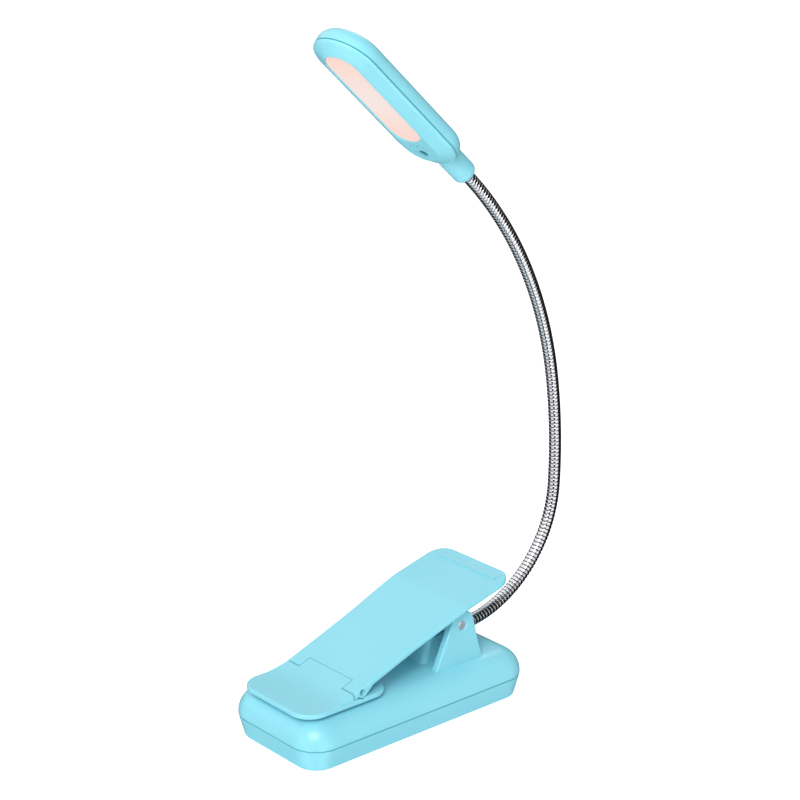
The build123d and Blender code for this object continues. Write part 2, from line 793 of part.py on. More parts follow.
gooseneck = []
lengths = [0.0] + neck_joint_places + [neck_length]
for index, (start, end) in enumerate(zip(lengths[:-1], lengths[1:])):
    at_base, at_head = index == 0, index == neck_joints
    start += neck_straight if at_base else neck_joint_gap
    end -= 0.0 if at_head else neck_joint_gap
    x, z, heading = neck_at(start)
    tangent = Vector(math.cos(math.radians(heading)), 0, math.sin(math.radians(heading)))
    with BuildPart() as link:
        with BuildLine() as link_path:
            ThreePointArc(neck_point(start), neck_point((start + end) / 2), neck_point(end))
        with BuildSketch(Plane(origin=neck_point(start), z_dir=tangent)):
            Circle(neck_radius)
        sweep(path=link_path.wire())
        if at_base:
            with BuildSketch(Plane.YZ.offset(tower_rear + neck_straight)):
                with Locations((0, neck_z)):
                    Circle(neck_radius)
            extrude(amount=-neck_straight - neck_root_depth)
        else:
            with Locations(neck_point(start)):
                Sphere(neck_radius)
        if at_head:
            with BuildSketch(collar_plane):
                Circle(neck_radius)
            extrude(amount=collar_bore_depth)
        else:
            with Locations(neck_point(end)):
                Sphere(neck_radius)
    gooseneck.append(link)

with BuildPart() as neck_ferrule:
    with BuildSketch(Plane.YZ.offset(tower_rear + ferrule_proud)):
        with Locations((0, neck_z)):
            Circle(ferrule_radius)
            Circle(neck_radius + neck_fit, mode=Mode.SUBTRACT)
    extrude(amount=-ferrule_length)
    chamfer(neck_ferrule.faces().sort_by(Axis.X)[-1].edges().sort_by(SortBy.LENGTH)[-1], ferrule_chamfer)

with BuildPart() as neck_collar:
    with BuildSketch(collar_plane):
        Circle(collar_radius)
    extrude(amount=collar_length + collar_overlap)
    with BuildSketch(collar_plane):
        Circle(collar_spigot_radius)
    extrude(amount=collar_length + collar_overlap + collar_spigot_length)
    fillet(
        neck_collar.edges().sort_by(lambda e: (e.center() - neck_end).dot(head_along))[0],
        collar_round,
    )
    with BuildSketch(collar_plane):
        Circle(neck_radius + neck_fit)
    extrude(amount=collar_bore_depth, mode=Mode.SUBTRACT)
    with BuildSketch(collar_plane):
        Circle(neck_radius / 2)
    extrude(amount=2 * collar_length, mode=Mode.SUBTRACT)

# ======================= light head =======================

front_axis = Axis(head_middle, head_plane.z_dir)


def head_height(shape):
    """Height of a shape's centre above the head's seam, towards the lit face."""
    return head_plane.to_local_coords(shape.center()).Z


with BuildPart() as head_front_shell:
    with BuildSketch(head_plane):
        SlotOverall(head_length, head_width)
    extrude(amount=head_front_depth)
    lit_face = head_front_shell.faces().sort_by(front_axis)[-1]
    chamfer(
        lit_face.edges(), length=head_width / 2 - head_face_half,
        length2=head_front_depth - head_side_band, reference=lit_face,
    )
    fillet(head_front_shell.faces().sort_by(front_axis)[-1].edges(), head_face_edge)
    fillet(
        head_front_shell.edges().filter_by(lambda e: abs(head_height(e) - head_side_band) < 0.01),
        head_band_edge,
    )
    chamfer(head_front_shell.faces().sort_by(front_axis)[0].edges(), seam_groove)
    # a wide pocket at the seam and a narrow one behind the window
    with BuildSketch(head_plane):
        SlotOverall(inner_length, inner_width)
    extrude(amount=head_side_band, mode=Mode.SUBTRACT)
    with BuildSketch(head_plane):
        SlotOverall(pocket_length, head_pocket_width)
    extrude(amount=pocket_top, mode=Mode.SUBTRACT)
    with BuildSketch(head_plane):
        with Locations((window_shift, 0)):
            SlotOverall(window_length + 2 * window_gap, window_width + 2 * window_gap)
        with Locations((button_x, 0)):
            Circle(button_radius + button_gap)
        with Locations((dot_x, 0)):
            with GridLocations(0, dot_spacing, 1, 3):
                Circle(dot_radius)
    extrude(amount=head_front_depth, mode=Mode.SUBTRACT)
    with BuildSketch(collar_plane):
        Circle(collar_radius + collar_fit)
    extrude(amount=collar_length + collar_overlap, mode=Mode.SUBTRACT)
    with BuildSketch(collar_plane):
        Circle(collar_spigot_radius + collar_fit)
    extrude(amount=collar_length + collar_overlap + collar_spigot_length, mode=Mode.SUBTRACT)

with BuildPart() as head_back_shell:
    with BuildSketch(head_plane):
        SlotOverall(head_length, head_width)
    extrude(amount=-head_back_depth)
    fillet(head_back_shell.faces().sort_by(front_axis)[0].edges(), head_back_edge)
    chamfer(head_back_shell.faces().sort_by(front_axis)[-1].edges(), seam_groove)
    with BuildSketch(head_plane):
        SlotOverall(inner_length, inner_width)
    extrude(amount=-head_side_band, mode=Mode.SUBTRACT)
    with BuildSketch(head_plane):
        SlotOverall(pocket_length, head_pocket_width)
    extrude(amount=back_floor, mode=Mode.SUBTRACT)
    # posts that carry the light board
    with BuildSketch(head_plane.offset(back_floor)):
        with Locations((led_board_x, 0)):
            with GridLocations(led_board_length / 2, head_pocket_width / 2, 2, 2):
                Circle(board_post_radius)
    extrude(amount=board_top - board_thickness - back_floor)
    with BuildSketch(collar_plane):
        Circle(collar_radius + collar_fit)
    extrude(amount=collar_length + collar_overlap, mode=Mode.SUBTRACT)
    with BuildSketch(collar_plane):
        Circle(collar_spigot_radius + collar_fit)
    extrude(amount=collar_length + collar_overlap + collar_spigot_length, mode=Mode.SUBTRACT)

with BuildPart() as led_board:
    with BuildSketch(head_plane.offset(board_top)):
        SlotOverall(pocket_length - 2 * board_gap, led_board_width)
        with Locations((led_board_x, 0)):
            Rectangle(led_board_length, led_board_width, mode=Mode.INTERSECT)
    extrude(amount=-board_thickness)

with BuildPart() as leds:
    with BuildSketch(head_plane.offset(board_top)):
        with Locations((window_shift, 0)):
            with GridLocations(
                window_length / (led_columns + 0.5), window_width / (led_rows + 0.5), led_columns, led_rows
            ):
                Rectangle(led_size[0], led_size[1])
    extrude(amount=led_size[2])

with BuildPart() as reflector:
    with BuildSketch(head_plane.offset(board_top)):
        with Locations((window_shift, 0)):
            SlotOverall(reflector_length, reflector_width)
            SlotOverall(window_length, window_width - 2 * window_gap, mode=Mode.SUBTRACT)
    extrude(amount=flange_bottom - board_top)

with BuildPart() as diffuser:
    with BuildSketch(head_plane.offset(flange_bottom)):
        with Locations((window_shift, 0)):
            SlotOverall(reflector_length, reflector_width)
    extrude(amount=flange_thickness)
    with BuildSketch(head_plane.offset(pocket_top)):
        with Locations((window_shift, 0)):
            SlotOverall(window_length, window_width)
    extrude(amount=window_z - pocket_top)
    fillet(diffuser.faces().sort_by(front_axis)[-1].edges(), window_edge)

with BuildPart() as power_button:
    with BuildSketch(head_plane.offset(button_flange_top)):
        with Locations((button_x, 0)):
            Circle(button_radius)
    extrude(amount=button_top - button_flange_top)
    fillet(power_button.faces().sort_by(front_axis)[-1].edges(), button_edge)
    with BuildSketch(head_plane.offset(button_flange_top)):
        with Locations((button_x, 0)):
            Circle(button_radius + button_flange)
    extrude(amount=-button_flange_thickness)
    with BuildSketch(head_plane.offset(button_flange_top)):
        with Locations((button_x, 0)):
            Circle(button_radius / 2)
    extrude(amount=button_foot - button_flange_top)

with BuildPart() as button_switch:
    with BuildSketch(head_plane.offset(board_top)):
        with Locations((button_x, 0)):
            Rectangle(switch_size, switch_size)
    extrude(amount=switch_height)

with BuildPart() as indicator_lights:
    with BuildSketch(head_plane.offset(flange_bottom)):
        with Locations((dot_x, 0)):
            Rectangle(dot_bar_width, 2 * dot_spacing + 2 * dot_bar_width)
    extrude(amount=flange_thickness)
    with BuildSketch(head_plane.offset(pocket_top)):
        with Locations((dot_x, 0)):
            with GridLocations(0, dot_spacing, 1, 3):
                Circle(dot_radius - dot_gap)
    extrude(amount=window_z - pocket_top)

pieces = {
    "base_bottom_shell": base_bottom_shell,
    "base_top_shell": base_top_shell,
    "base_screws": base_screws,
    "base_grip": base_grip,
    "battery_pad": battery_pad,
    "battery": battery,
    "control_board": control_board,
    "board_components": board_components,
    "charging_port": charging_port,
    "neck_wires": neck_wires,
    "battery_leads": battery_leads,
    "main_pin": main_pin,
    "torsion_spring_near": torsion_spring_near,
    "torsion_spring_far": torsion_spring_far,
    "lever": lever,
    "jaw_pin": jaw_pin,
    "jaw_pad": jaw_pad,
    "jaw_grip": jaw_grip,
    "neck_ferrule": neck_ferrule,
    "neck_collar": neck_collar,
    "head_front_shell": head_front_shell,
    "head_back_shell": head_back_shell,
    "led_board": led_board,
    "leds": leds,
    "reflector": reflector,
    "diffuser": diffuser,
    "power_button": power_button,
    "button_switch": button_switch,
    "indicator_lights": indicator_lights,
}
pieces |= {f"gooseneck_link_{index}": link for index, link in enumerate(gooseneck)}
for name, piece in pieces.items():
    piece.part.label = name
    export_step(piece.part, f"parts/{name}.step")
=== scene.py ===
import json
import math
import bpy
from mathutils import Matrix, Vector


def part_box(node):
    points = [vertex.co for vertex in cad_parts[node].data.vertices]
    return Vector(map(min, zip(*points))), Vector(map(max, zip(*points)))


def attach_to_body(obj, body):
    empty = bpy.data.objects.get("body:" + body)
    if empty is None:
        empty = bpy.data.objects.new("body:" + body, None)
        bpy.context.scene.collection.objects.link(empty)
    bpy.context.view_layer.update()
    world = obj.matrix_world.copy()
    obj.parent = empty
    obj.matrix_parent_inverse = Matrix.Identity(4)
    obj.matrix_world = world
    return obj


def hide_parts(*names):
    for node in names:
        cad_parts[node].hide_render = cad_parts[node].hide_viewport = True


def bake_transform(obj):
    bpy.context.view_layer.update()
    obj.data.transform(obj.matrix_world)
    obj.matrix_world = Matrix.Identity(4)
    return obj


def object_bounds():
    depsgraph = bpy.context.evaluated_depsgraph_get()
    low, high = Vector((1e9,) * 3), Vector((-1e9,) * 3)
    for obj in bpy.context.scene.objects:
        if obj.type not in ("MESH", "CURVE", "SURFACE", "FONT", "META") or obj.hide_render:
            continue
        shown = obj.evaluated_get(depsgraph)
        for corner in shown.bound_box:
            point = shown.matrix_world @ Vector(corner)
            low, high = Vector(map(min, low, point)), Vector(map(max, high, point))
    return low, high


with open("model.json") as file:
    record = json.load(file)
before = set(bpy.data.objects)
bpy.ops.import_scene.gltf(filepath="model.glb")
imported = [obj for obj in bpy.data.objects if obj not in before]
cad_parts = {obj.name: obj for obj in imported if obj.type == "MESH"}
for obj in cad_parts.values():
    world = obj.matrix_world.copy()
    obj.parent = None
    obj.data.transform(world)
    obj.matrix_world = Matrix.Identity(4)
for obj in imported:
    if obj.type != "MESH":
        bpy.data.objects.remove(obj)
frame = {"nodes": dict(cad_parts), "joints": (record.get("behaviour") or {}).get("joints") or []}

cadLow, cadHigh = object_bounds()  # the box round the CAD pieces
nodes = frame["nodes"]
joints = {joint["name"]: joint for joint in frame["joints"]}
scene = bpy.context.scene


# helpers for picking, applying and tidying meshes

def deselectAll():
    if bpy.context.object and bpy.context.object.mode != "OBJECT":
        bpy.ops.object.mode_set(mode="OBJECT")
    bpy.ops.object.select_all(action="DESELECT")


def makeActive(piece):
    deselectAll()
    piece.select_set(True)
    bpy.context.view_layer.objects.active = piece


def settle(piece, name):  # place goes into the mesh, the object stays at the origin
    makeActive(piece)
    bpy.ops.object.transform_apply(location=True, rotation=True, scale=True)
    piece.name = name
    piece.data.name = name
    return piece


def applyModifiers(piece):
    makeActive(piece)
    for modifier in list(piece.modifiers):
        bpy.ops.object.modifier_apply(modifier=modifier.name)


def cleanMesh(piece, gap=1e-6):  # weld, then turn every face outwards
    makeActive(piece)
    bpy.ops.object.mode_set(mode="EDIT")
    bpy.ops.mesh.select_all(action="SELECT")
    bpy.ops.mesh.remove_doubles(threshold=gap)
    bpy.ops.mesh.normals_make_consistent(inside=False)
    bpy.ops.object.mode_set(mode="OBJECT")


def smoothByAngle(piece, degrees):
    makeActive(piece)
    bpy.ops.object.shade_smooth_by_angle(angle=math.radians(degrees))


def copyOf(piece, name):  # a copy with its own mesh
    twin = piece.copy()
    twin.data = piece.data.copy()
    twin.name = name
    bpy.context.collection.objects.link(twin)
    return twin


def attach(piece, body, slot, material, *stoodFor):
    piece.data.materials.clear()
    piece.data.materials.append(material)
    if stoodFor:
        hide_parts(*stoodFor)
    if body:
        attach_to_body(piece, body)
    return piece


# camera at the viewing angle

cameraLook = {"place": (-0.4016, -0.4751, 0.3126), "yaw": 40.73, "pitch": -18.7, "lens": 99.99}
cameraData = bpy.data.cameras.new("camera")
cameraData.lens = cameraLook["lens"]
cameraData.sensor_width = 36
cameraData.clip_start = 0.01
cameraData.clip_end = 20
camera = bpy.data.objects.new("camera", cameraData)
camera.location = cameraLook["place"]
yaw, pitch = math.radians(cameraLook["yaw"]), math.radians(cameraLook["pitch"])
lookAlong = Vector((math.sin(yaw) * math.cos(pitch), math.cos(yaw) * math.cos(pitch), math.sin(pitch)))
camera.rotation_euler = lookAlong.to_track_quat("-Z", "Y").to_euler()
scene.collection.objects.link(camera)
scene.camera = camera
print("camera placed")


# floor and studio light

studio = {
    "floor": (0.92, 0.92, 0.92), "floorGlow": 0.2, "floorSeen": 0.35, "fill": 0.5, "backdrop": 1.0,
    "key": 18.5, "keyPlace": (-0.95, -0.75, 1.0), "keySize": 0.7,
    "rim": 2.5, "rimPlace": (0.9, 0.6, 0.9), "rimSize": 0.6, "aim": (0, 0, 0.08), "floorSize": 12,
    # what polished metal mirrors: brightness against the angle round from the camera, in degrees
    "softboxes": [(-180, 0.02), (-82, 0.02), (-72, 1.2), (-26, 1.2), (-18, 0.03), (6, 0.03), (14, 1.5),
                  (60, 1.5), (68, 0.02), (180, 0.02)],
    # and the same for what is mirrored from higher up, which starts and is whole at these heights
    "ceilingStart": 0.05, "ceilingWhole": 0.3,
    "ceiling": [(-180, 0.5), (-150, 1.5), (-20, 1.5), (30, 0.9), (60, 0.03), (150, 0.03), (180, 0.5)],
}
deselectAll()
bpy.ops.mesh.primitive_plane_add(size=studio["floorSize"], location=(0, 0, cadLow.z))
floor = settle(bpy.context.object, "floor")
floorPaint = bpy.data.materials.new("floor paint")
floorPaint.use_nodes = True
floorShader = floorPaint.node_tree.nodes["Principled BSDF"]
floorShader.inputs["Base Color"].default_value = (*studio["floor"], 1)
floorShader.inputs["Roughness"].default_value = 0.9
floorShader.inputs["Specular IOR Level"].default_value = 0.0
floor.data.materials.append(floorPaint)
seenBy = floorPaint.node_tree.nodes.new("ShaderNodeLightPath")
glow = floorPaint.node_tree.nodes.new("ShaderNodeMath")
glow.operation = "MULTIPLY_ADD"
glow.inputs[1].default_value = studio["floorSeen"]
glow.inputs[2].default_value = studio["floorGlow"]
floorPaint.node_tree.links.new(seenBy.outputs["Is Camera Ray"], glow.inputs[0])
floorPaint.node_tree.links.new(glow.outputs[0], floorShader.inputs["Emission Strength"])
floorShader.inputs["Emission Color"].default_value = (1, 1, 1, 1)


def areaLight(name, place, size, power):
    data = bpy.data.lights.new(name, "AREA")
    data.energy, data.size = power, size
    light = bpy.data.objects.new(name, data)
    light.location = place
    light.rotation_euler = (Vector(studio["aim"]) - Vector(place)).to_track_quat("-Z", "Y").to_euler()
    scene.collection.objects.link(light)
    return light


areaLight("key light", studio["keyPlace"], studio["keySize"], studio["key"])
areaLight("rim light", studio["rimPlace"], studio["rimSize"], studio["rim"])


def studioWorld():  # white backdrop, even fill, and softboxes with dark gaps for reflections
    world = bpy.data.worlds.new("studio")
    world.use_nodes = True
    tree = world.node_tree
    background = tree.nodes["Background"]
    links = tree.links

    def worked(operation, first, second=None):
        node = tree.nodes.new("ShaderNodeMath")
        node.operation = operation
        for socket, value in zip(node.inputs, (first, second)):
            if isinstance(value, (int, float)):
                socket.default_value = value
            elif value is not None:
                links.new(value, socket)
        return node.outputs[0]

    def along(direction, vector):
        node = tree.nodes.new("ShaderNodeVectorMath")
        node.operation = "DOT_PRODUCT"
        links.new(vector, node.inputs[0])
        node.inputs[1].default_value = direction
        return node.outputs["Value"]

    where = tree.nodes.new("ShaderNodeTexCoord").outputs["Generated"]
    sideways = along((math.cos(yaw), -math.sin(yaw), 0), where)
    towards = along((-math.sin(yaw), -math.cos(yaw), 0), where)
    turn = worked("ARCTAN2", sideways, towards)
    share = worked("ADD", worked("DIVIDE", turn, math.tau), 0.5)

    def ringOf(boxes):
        ramp = tree.nodes.new("ShaderNodeValToRGB")
        links.new(share, ramp.inputs["Fac"])
        stops = ramp.color_ramp.elements
        for angle, _ in boxes[1:-1]:
            stops.new(angle / 360 + 0.5)
        for stop, (_, brightness) in zip(stops, boxes):
            stop.color = (brightness, brightness, brightness, 1)
        return ramp.outputs["Color"]

    height = along((0, 0, 1), where)
    raised = tree.nodes.new("ShaderNodeMapRange")
    raised.inputs["From Min"].default_value = studio["ceilingStart"]
    raised.inputs["From Max"].default_value = studio["ceilingWhole"]
    links.new(height, raised.inputs["Value"])
    mirrored = tree.nodes.new("ShaderNodeMix")
    mirrored.data_type = "RGBA"
    links.new(ringOf(studio["softboxes"]), mirrored.inputs["A"])
    links.new(ringOf(studio["ceiling"]), mirrored.inputs["B"])
    links.new(raised.outputs["Result"], mirrored.inputs["Factor"])
    rays = tree.nodes.new("ShaderNodeLightPath")
    glossy = tree.nodes.new("ShaderNodeMix")
    glossy.data_type = "RGBA"
    glossy.inputs["A"].default_value = (studio["fill"],) * 3 + (1,)
    links.new(mirrored.outputs["Result"], glossy.inputs["B"])
    links.new(rays.outputs["Is Glossy Ray"], glossy.inputs["Factor"])
    seen = tree.nodes.new("ShaderNodeMix")
    seen.data_type = "RGBA"
    seen.inputs["B"].default_value = (studio["backdrop"],) * 3 + (1,)
    links.new(glossy.outputs["Result"], seen.inputs["A"])
    links.new(rays.outputs["Is Camera Ray"], seen.inputs["Factor"])
    links.new(seen.outputs["Result"], background.inputs["Color"])
    scene.world = world


studioWorld()
floor.visible_glossy = False  # metal mirrors the softboxes and not the floor
scene.view_settings.view_transform = "Standard"
print("studio lit")


# materials, each with its own small variation

def newMaterial(name):
    material = bpy.data.materials.new(name)
    material.use_nodes = True
    tree = material.node_tree
    return material, tree, tree.nodes["Principled BSDF"]


def addNode(tree, kind, **settings):
    node = tree.nodes.new(kind)
    for key, value in settings.items():
        if key in node.inputs:
            node.inputs[key].default_value = value
        else:
            setattr(node, key, value)
    return node


def objectSpace(tree, scale=(1, 1, 1)):
    place = addNode(tree, "ShaderNodeTexCoord")
    mapping = addNode(tree, "ShaderNodeMapping", Scale=scale)
    tree.links.new(place.outputs["Object"], mapping.inputs["Vector"])
    return mapping.outputs["Vector"]


def noiseFrom(tree, where, scale, detail=2.0, roughness=0.5):
    noise = addNode(tree, "ShaderNodeTexNoise", Scale=scale, Detail=detail, Roughness=roughness)
    tree.links.new(where, noise.inputs["Vector"])
    return noise.outputs["Fac"]


def rampFrom(tree, value, low, high, start=0.0, end=1.0):
    spread = addNode(tree, "ShaderNodeMapRange")
    for key, number in (("From Min", start), ("From Max", end), ("To Min", low), ("To Max", high)):
        spread.inputs[key].default_value = number
    tree.links.new(value, spread.inputs["Value"])
    return spread.outputs["Result"]


def mixColours(tree, share, first, second):
    mix = addNode(tree, "ShaderNodeMix", data_type="RGBA")
    mix.inputs["A"].default_value = (*first, 1)
    mix.inputs["B"].default_value = (*second, 1)
    tree.links.new(share, mix.inputs["Factor"])
    return mix.outputs["Result"]


def bumpFrom(tree, shader, height, strength, distance):
    bump = addNode(tree, "ShaderNodeBump", Strength=strength, Distance=distance)
    tree.links.new(height, bump.inputs["Height"])
    tree.links.new(bump.outputs["Normal"], shader.inputs["Normal"])


def mouldedPlastic(name, look):  # two close shades, a soft orange-peel and slightly uneven gloss
    material, tree, shader = newMaterial(name)
    where = objectSpace(tree)
    cloudy = noiseFrom(tree, where, look["cloudScale"], 3)
    share = rampFrom(tree, cloudy, 0, 1, 0.3, 0.7)
    tree.links.new(mixColours(tree, share, look["shade"], look["tint"]), shader.inputs["Base Color"])
    fine = noiseFrom(tree, where, look["grainScale"], 4, 0.6)
    tree.links.new(rampFrom(tree, fine, *look["roughness"]), shader.inputs["Roughness"])
    bumpFrom(tree, shader, fine, look["grain"], 0.0001)
    shader.inputs["IOR"].default_value = 1.46
    shader.inputs["Subsurface Weight"].default_value = look["glow"]
    shader.inputs["Subsurface Radius"].default_value = (0.3, 0.8, 1.0)
    shader.inputs["Subsurface Scale"].default_value = 0.0015
    return material


def drawnMetal(name, look):  # brushed along one axis, with a little uneven tarnish
    material, tree, shader = newMaterial(name)
    shader.inputs["Metallic"].default_value = 1
    brushed = noiseFrom(tree, objectSpace(tree, look["brush"]), look["scale"], 3)
    tree.links.new(rampFrom(tree, brushed, *look["roughness"], 0.3, 0.7), shader.inputs["Roughness"])
    patchy = noiseFrom(tree, objectSpace(tree), look["scale"] * 0.15, 2)
    tree.links.new(mixColours(tree, patchy, look["shade"], look["tint"]), shader.inputs["Base Color"])
    bumpFrom(tree, shader, brushed, look["bump"], 0.00005)
    return material


def softRubber(name, look):
    material, tree, shader = newMaterial(name)
    where = objectSpace(tree)
    specks = noiseFrom(tree, where, look["scale"], 5, 0.7)
    tree.links.new(mixColours(tree, specks, look["shade"], look["tint"]), shader.inputs["Base Color"])
    tree.links.new(rampFrom(tree, specks, *look["roughness"]), shader.inputs["Roughness"])
    bumpFrom(tree, shader, specks, look["bump"], 0.0001)
    return material


aquaLook = {
    "shade": (0.235, 0.635, 0.745), "tint": (0.26, 0.66, 0.77), "cloudScale": 30,
    "grainScale": 2600, "grain": 0.08, "roughness": (0.26, 0.38), "glow": 0.15,
}
metals = {
    "polished pin": {"shade": (0.78, 0.78, 0.80), "tint": (0.9, 0.9, 0.92), "brush": (1, 0.1, 1),
                     "scale": 4000, "roughness": (0.42, 0.6), "bump": 0.1},
    "drawn spring": {"shade": (0.28, 0.28, 0.30), "tint": (0.42, 0.42, 0.44), "brush": (1, 1, 1),
                     "scale": 3000, "roughness": (0.25, 0.42), "bump": 0.15},
    "hose chrome": {"shade": (0.52, 0.52, 0.54), "tint": (0.66, 0.66, 0.69), "brush": (1, 1, 1),
                    "scale": 2200, "roughness": (0.06, 0.14), "bump": 0.05},
    # painted shade: near-black for the faces deep in the hose's grooves
    "hose groove shade": {"shade": (0.02, 0.02, 0.022), "tint": (0.05, 0.05, 0.055), "brush": (1, 1, 1),
                    "scale": 2200, "roughness": (0.3, 0.5), "bump": 0.05},
    "black zinc": {"shade": (0.09, 0.09, 0.10), "tint": (0.16, 0.16, 0.17), "brush": (1, 1, 1),
                   "scale": 2500, "roughness": (0.3, 0.5), "bump": 0.1},
    "port shell": {"shade": (0.62, 0.62, 0.64), "tint": (0.75, 0.75, 0.76), "brush": (0.1, 1, 1),
                   "scale": 4000, "roughness": (0.2, 0.35), "bump": 0.05},
    "cell foil": {"shade": (0.6, 0.6, 0.62), "tint": (0.74, 0.74, 0.76), "brush": (0.2, 1, 1),
                  "scale": 1500, "roughness": (0.3, 0.45), "bump": 0.1},
}
aqua = mouldedPlastic("aqua plastic", aquaLook)
metal = {name: drawnMetal(name, look) for name, look in metals.items()}
gripRubber = softRubber("grip rubber", {
    "shade": (0.02, 0.10, 0.13), "tint": (0.03, 0.15, 0.18),
    "scale": 2500, "roughness": (0.6, 0.85), "bump": 0.3,
})
foam = softRubber("foam tape", {
    "shade": (0.6, 0.6, 0.57), "tint": (0.78, 0.78, 0.74),
    "scale": 1800, "roughness": (0.8, 0.95), "bump": 0.6,
})
solderMask = softRubber("solder mask", {
    "shade": (0.01, 0.11, 0.05), "tint": (0.02, 0.17, 0.08),
    "scale": 700, "roughness": (0.3, 0.5), "bump": 0.1,
})
chipPlastic = softRubber("chip plastic", {
    "shade": (0.01, 0.01, 0.012), "tint": (0.03, 0.03, 0.033),
    "scale": 3000, "roughness": (0.45, 0.7), "bump": 0.2,
})
wirePlastic = softRubber("wire cover", {
    "shade": (0.30, 0.01, 0.01), "tint": (0.42, 0.02, 0.02),
    "scale": 900, "roughness": (0.35, 0.5), "bump": 0.05,
})
whiteBoard = softRubber("white board", {
    "shade": (0.8, 0.8, 0.78), "tint": (0.88, 0.88, 0.86),
    "scale": 900, "roughness": (0.35, 0.5), "bump": 0.05,
})
# painted shade: the power button is coloured as the dark teal shade of its recess
recessShadePaint = softRubber("dark teal recess shade", {
    "shade": (0.003, 0.10, 0.13), "tint": (0.006, 0.14, 0.17),
    "scale": 2600, "roughness": (0.3, 0.45), "bump": 0.05,
})
# painted shade for the seam lines: a darker copy of the shell colour
seamShadePaint = softRubber("seam shade", {
    "shade": (0.04, 0.34, 0.39), "tint": (0.05, 0.38, 0.43),
    "scale": 2600, "roughness": (0.5, 0.7), "bump": 0.05,
})
# painted shade: the indicator pinholes are coloured as the dark teal shade inside them
pinholeShadePaint = softRubber("indicator pinhole shade", {
    "shade": (0.002, 0.05, 0.06), "tint": (0.004, 0.08, 0.09),
    "scale": 3000, "roughness": (0.2, 0.3), "bump": 0.02,
})


windowLow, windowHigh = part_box("diffuser")
windowMiddle = (windowLow + windowHigh) / 2


def litMaterial(name, look):  # pale in its middle and warmer towards its ends
    material, tree, shader = newMaterial(name)
    place = addNode(tree, "ShaderNodeTexCoord")
    offset = addNode(tree, "ShaderNodeVectorMath", operation="SUBTRACT")
    offset.inputs[1].default_value = windowMiddle
    tree.links.new(place.outputs["Object"], offset.inputs[0])
    distance = addNode(tree, "ShaderNodeVectorMath", operation="LENGTH")
    tree.links.new(offset.outputs["Vector"], distance.inputs[0])
    share = rampFrom(tree, distance.outputs["Value"], 0, 1, *look["reach"])
    colour = mixColours(tree, share, look["middle"], look["edge"])
    tree.links.new(colour, shader.inputs["Emission Color"])
    shader.inputs["Base Color"].default_value = look["body"]
    shader.inputs["Emission Strength"].default_value = look["strength"]
    shader.inputs["Roughness"].default_value = 0.5
    return material


litWindow = litMaterial("lit window", {
    "edge": (0.99, 0.65, 0.56), "middle": (0.92, 0.79, 0.76), "body": (0.26, 0.2, 0.18, 1),
    "strength": 0.72, "reach": (0.004, 0.022),
})
litChip = litMaterial("lit chip", {
    "edge": (1.0, 0.70, 0.40), "middle": (1.0, 0.85, 0.6), "body": (0.8, 0.7, 0.3, 1),
    "strength": 2.0, "reach": (0.004, 0.03),
})

finishes = {
    aqua: ["base_bottom_shell", "base_top_shell", "lever", "jaw_pad", "neck_collar", "head_front_shell",
           "head_back_shell"],
    gripRubber: ["base_grip", "jaw_grip"],
    foam: ["battery_pad"],
    metal["cell foil"]: ["battery"],
    solderMask: ["control_board"],
    chipPlastic: ["board_components", "button_switch"],
    metal["port shell"]: ["charging_port"],
    wirePlastic: ["neck_wires", "battery_leads"],
    metal["polished pin"]: ["main_pin"],
    metal["drawn spring"]: ["jaw_pin"],
    metal["black zinc"]: ["base_screws"],
    metal["hose chrome"]: ["neck_ferrule"],
    whiteBoard: ["led_board", "reflector"],
    litChip: ["leds"],
    litWindow: ["diffuser"],
    pinholeShadePaint: ["indicator_lights"],
    recessShadePaint: ["power_button"],
}
for material, names in finishes.items():
    for name in names:
        nodes[name].data.materials.clear()
        nodes[name].data.materials.append(material)


def darkenSeam(name, place, across, reach=0.00021):  # paints shade onto the small chamfers that meet at a seam
    piece = nodes[name]
    piece.data.materials.append(seamShadePaint)
    for face in piece.data.polygons:
        if abs((face.center - place).dot(across)) < reach:
            face.material_index = 1


litWay = -Vector(joints["button_press"]["axis"])  # the button is pressed into the lit face
frontShell = nodes["head_front_shell"].data.vertices
headSeam = litWay * min(vertex.co.dot(litWay) for vertex in frontShell)  # a point on the head's seam
for name in ("head_front_shell", "head_back_shell"):
    darkenSeam(name, headSeam, litWay)
baseSeam = Vector((0, 0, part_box("base_bottom_shell")[1].z))
for name in ("base_bottom_shell", "base_top_shell"):
    darkenSeam(name, baseSeam, Vector((0, 0, 1)))
print("materials given to the CAD pieces")


# the gooseneck is one wound strip, bent along the neck

neck = {
    "rear": 0.0292, "height": 0.01986, "straight": 0.0038, "root": 0.0048, "end": 0.0058,
    "bends": [(0.0399, 87.1), (0.1774, 11.8), (0.1231, 37.9)],
    "pitch": 0.00125, "radius": 0.0020, "groove": 0.00028, "around": 28, "joints": 8,
}


def neckPlace(distance):  # point and heading on the neck's centreline
    straight = min(distance, neck["straight"])
    x, z, heading = neck["rear"] + straight, neck["height"], 0.0
    distance -= straight
    for radius, turn in neck["bends"]:
        last = heading + min(max(distance, 0), radius * math.radians(turn)) / radius
        x += radius * (math.sin(last) - math.sin(heading))
        z += radius * (math.cos(heading) - math.cos(last))
        heading = last
        distance -= radius * math.radians(turn)
    return Vector((x, 0, z)), heading, distance


neckLength = neck["straight"] + sum(radius * math.radians(turn) for radius, turn in neck["bends"])


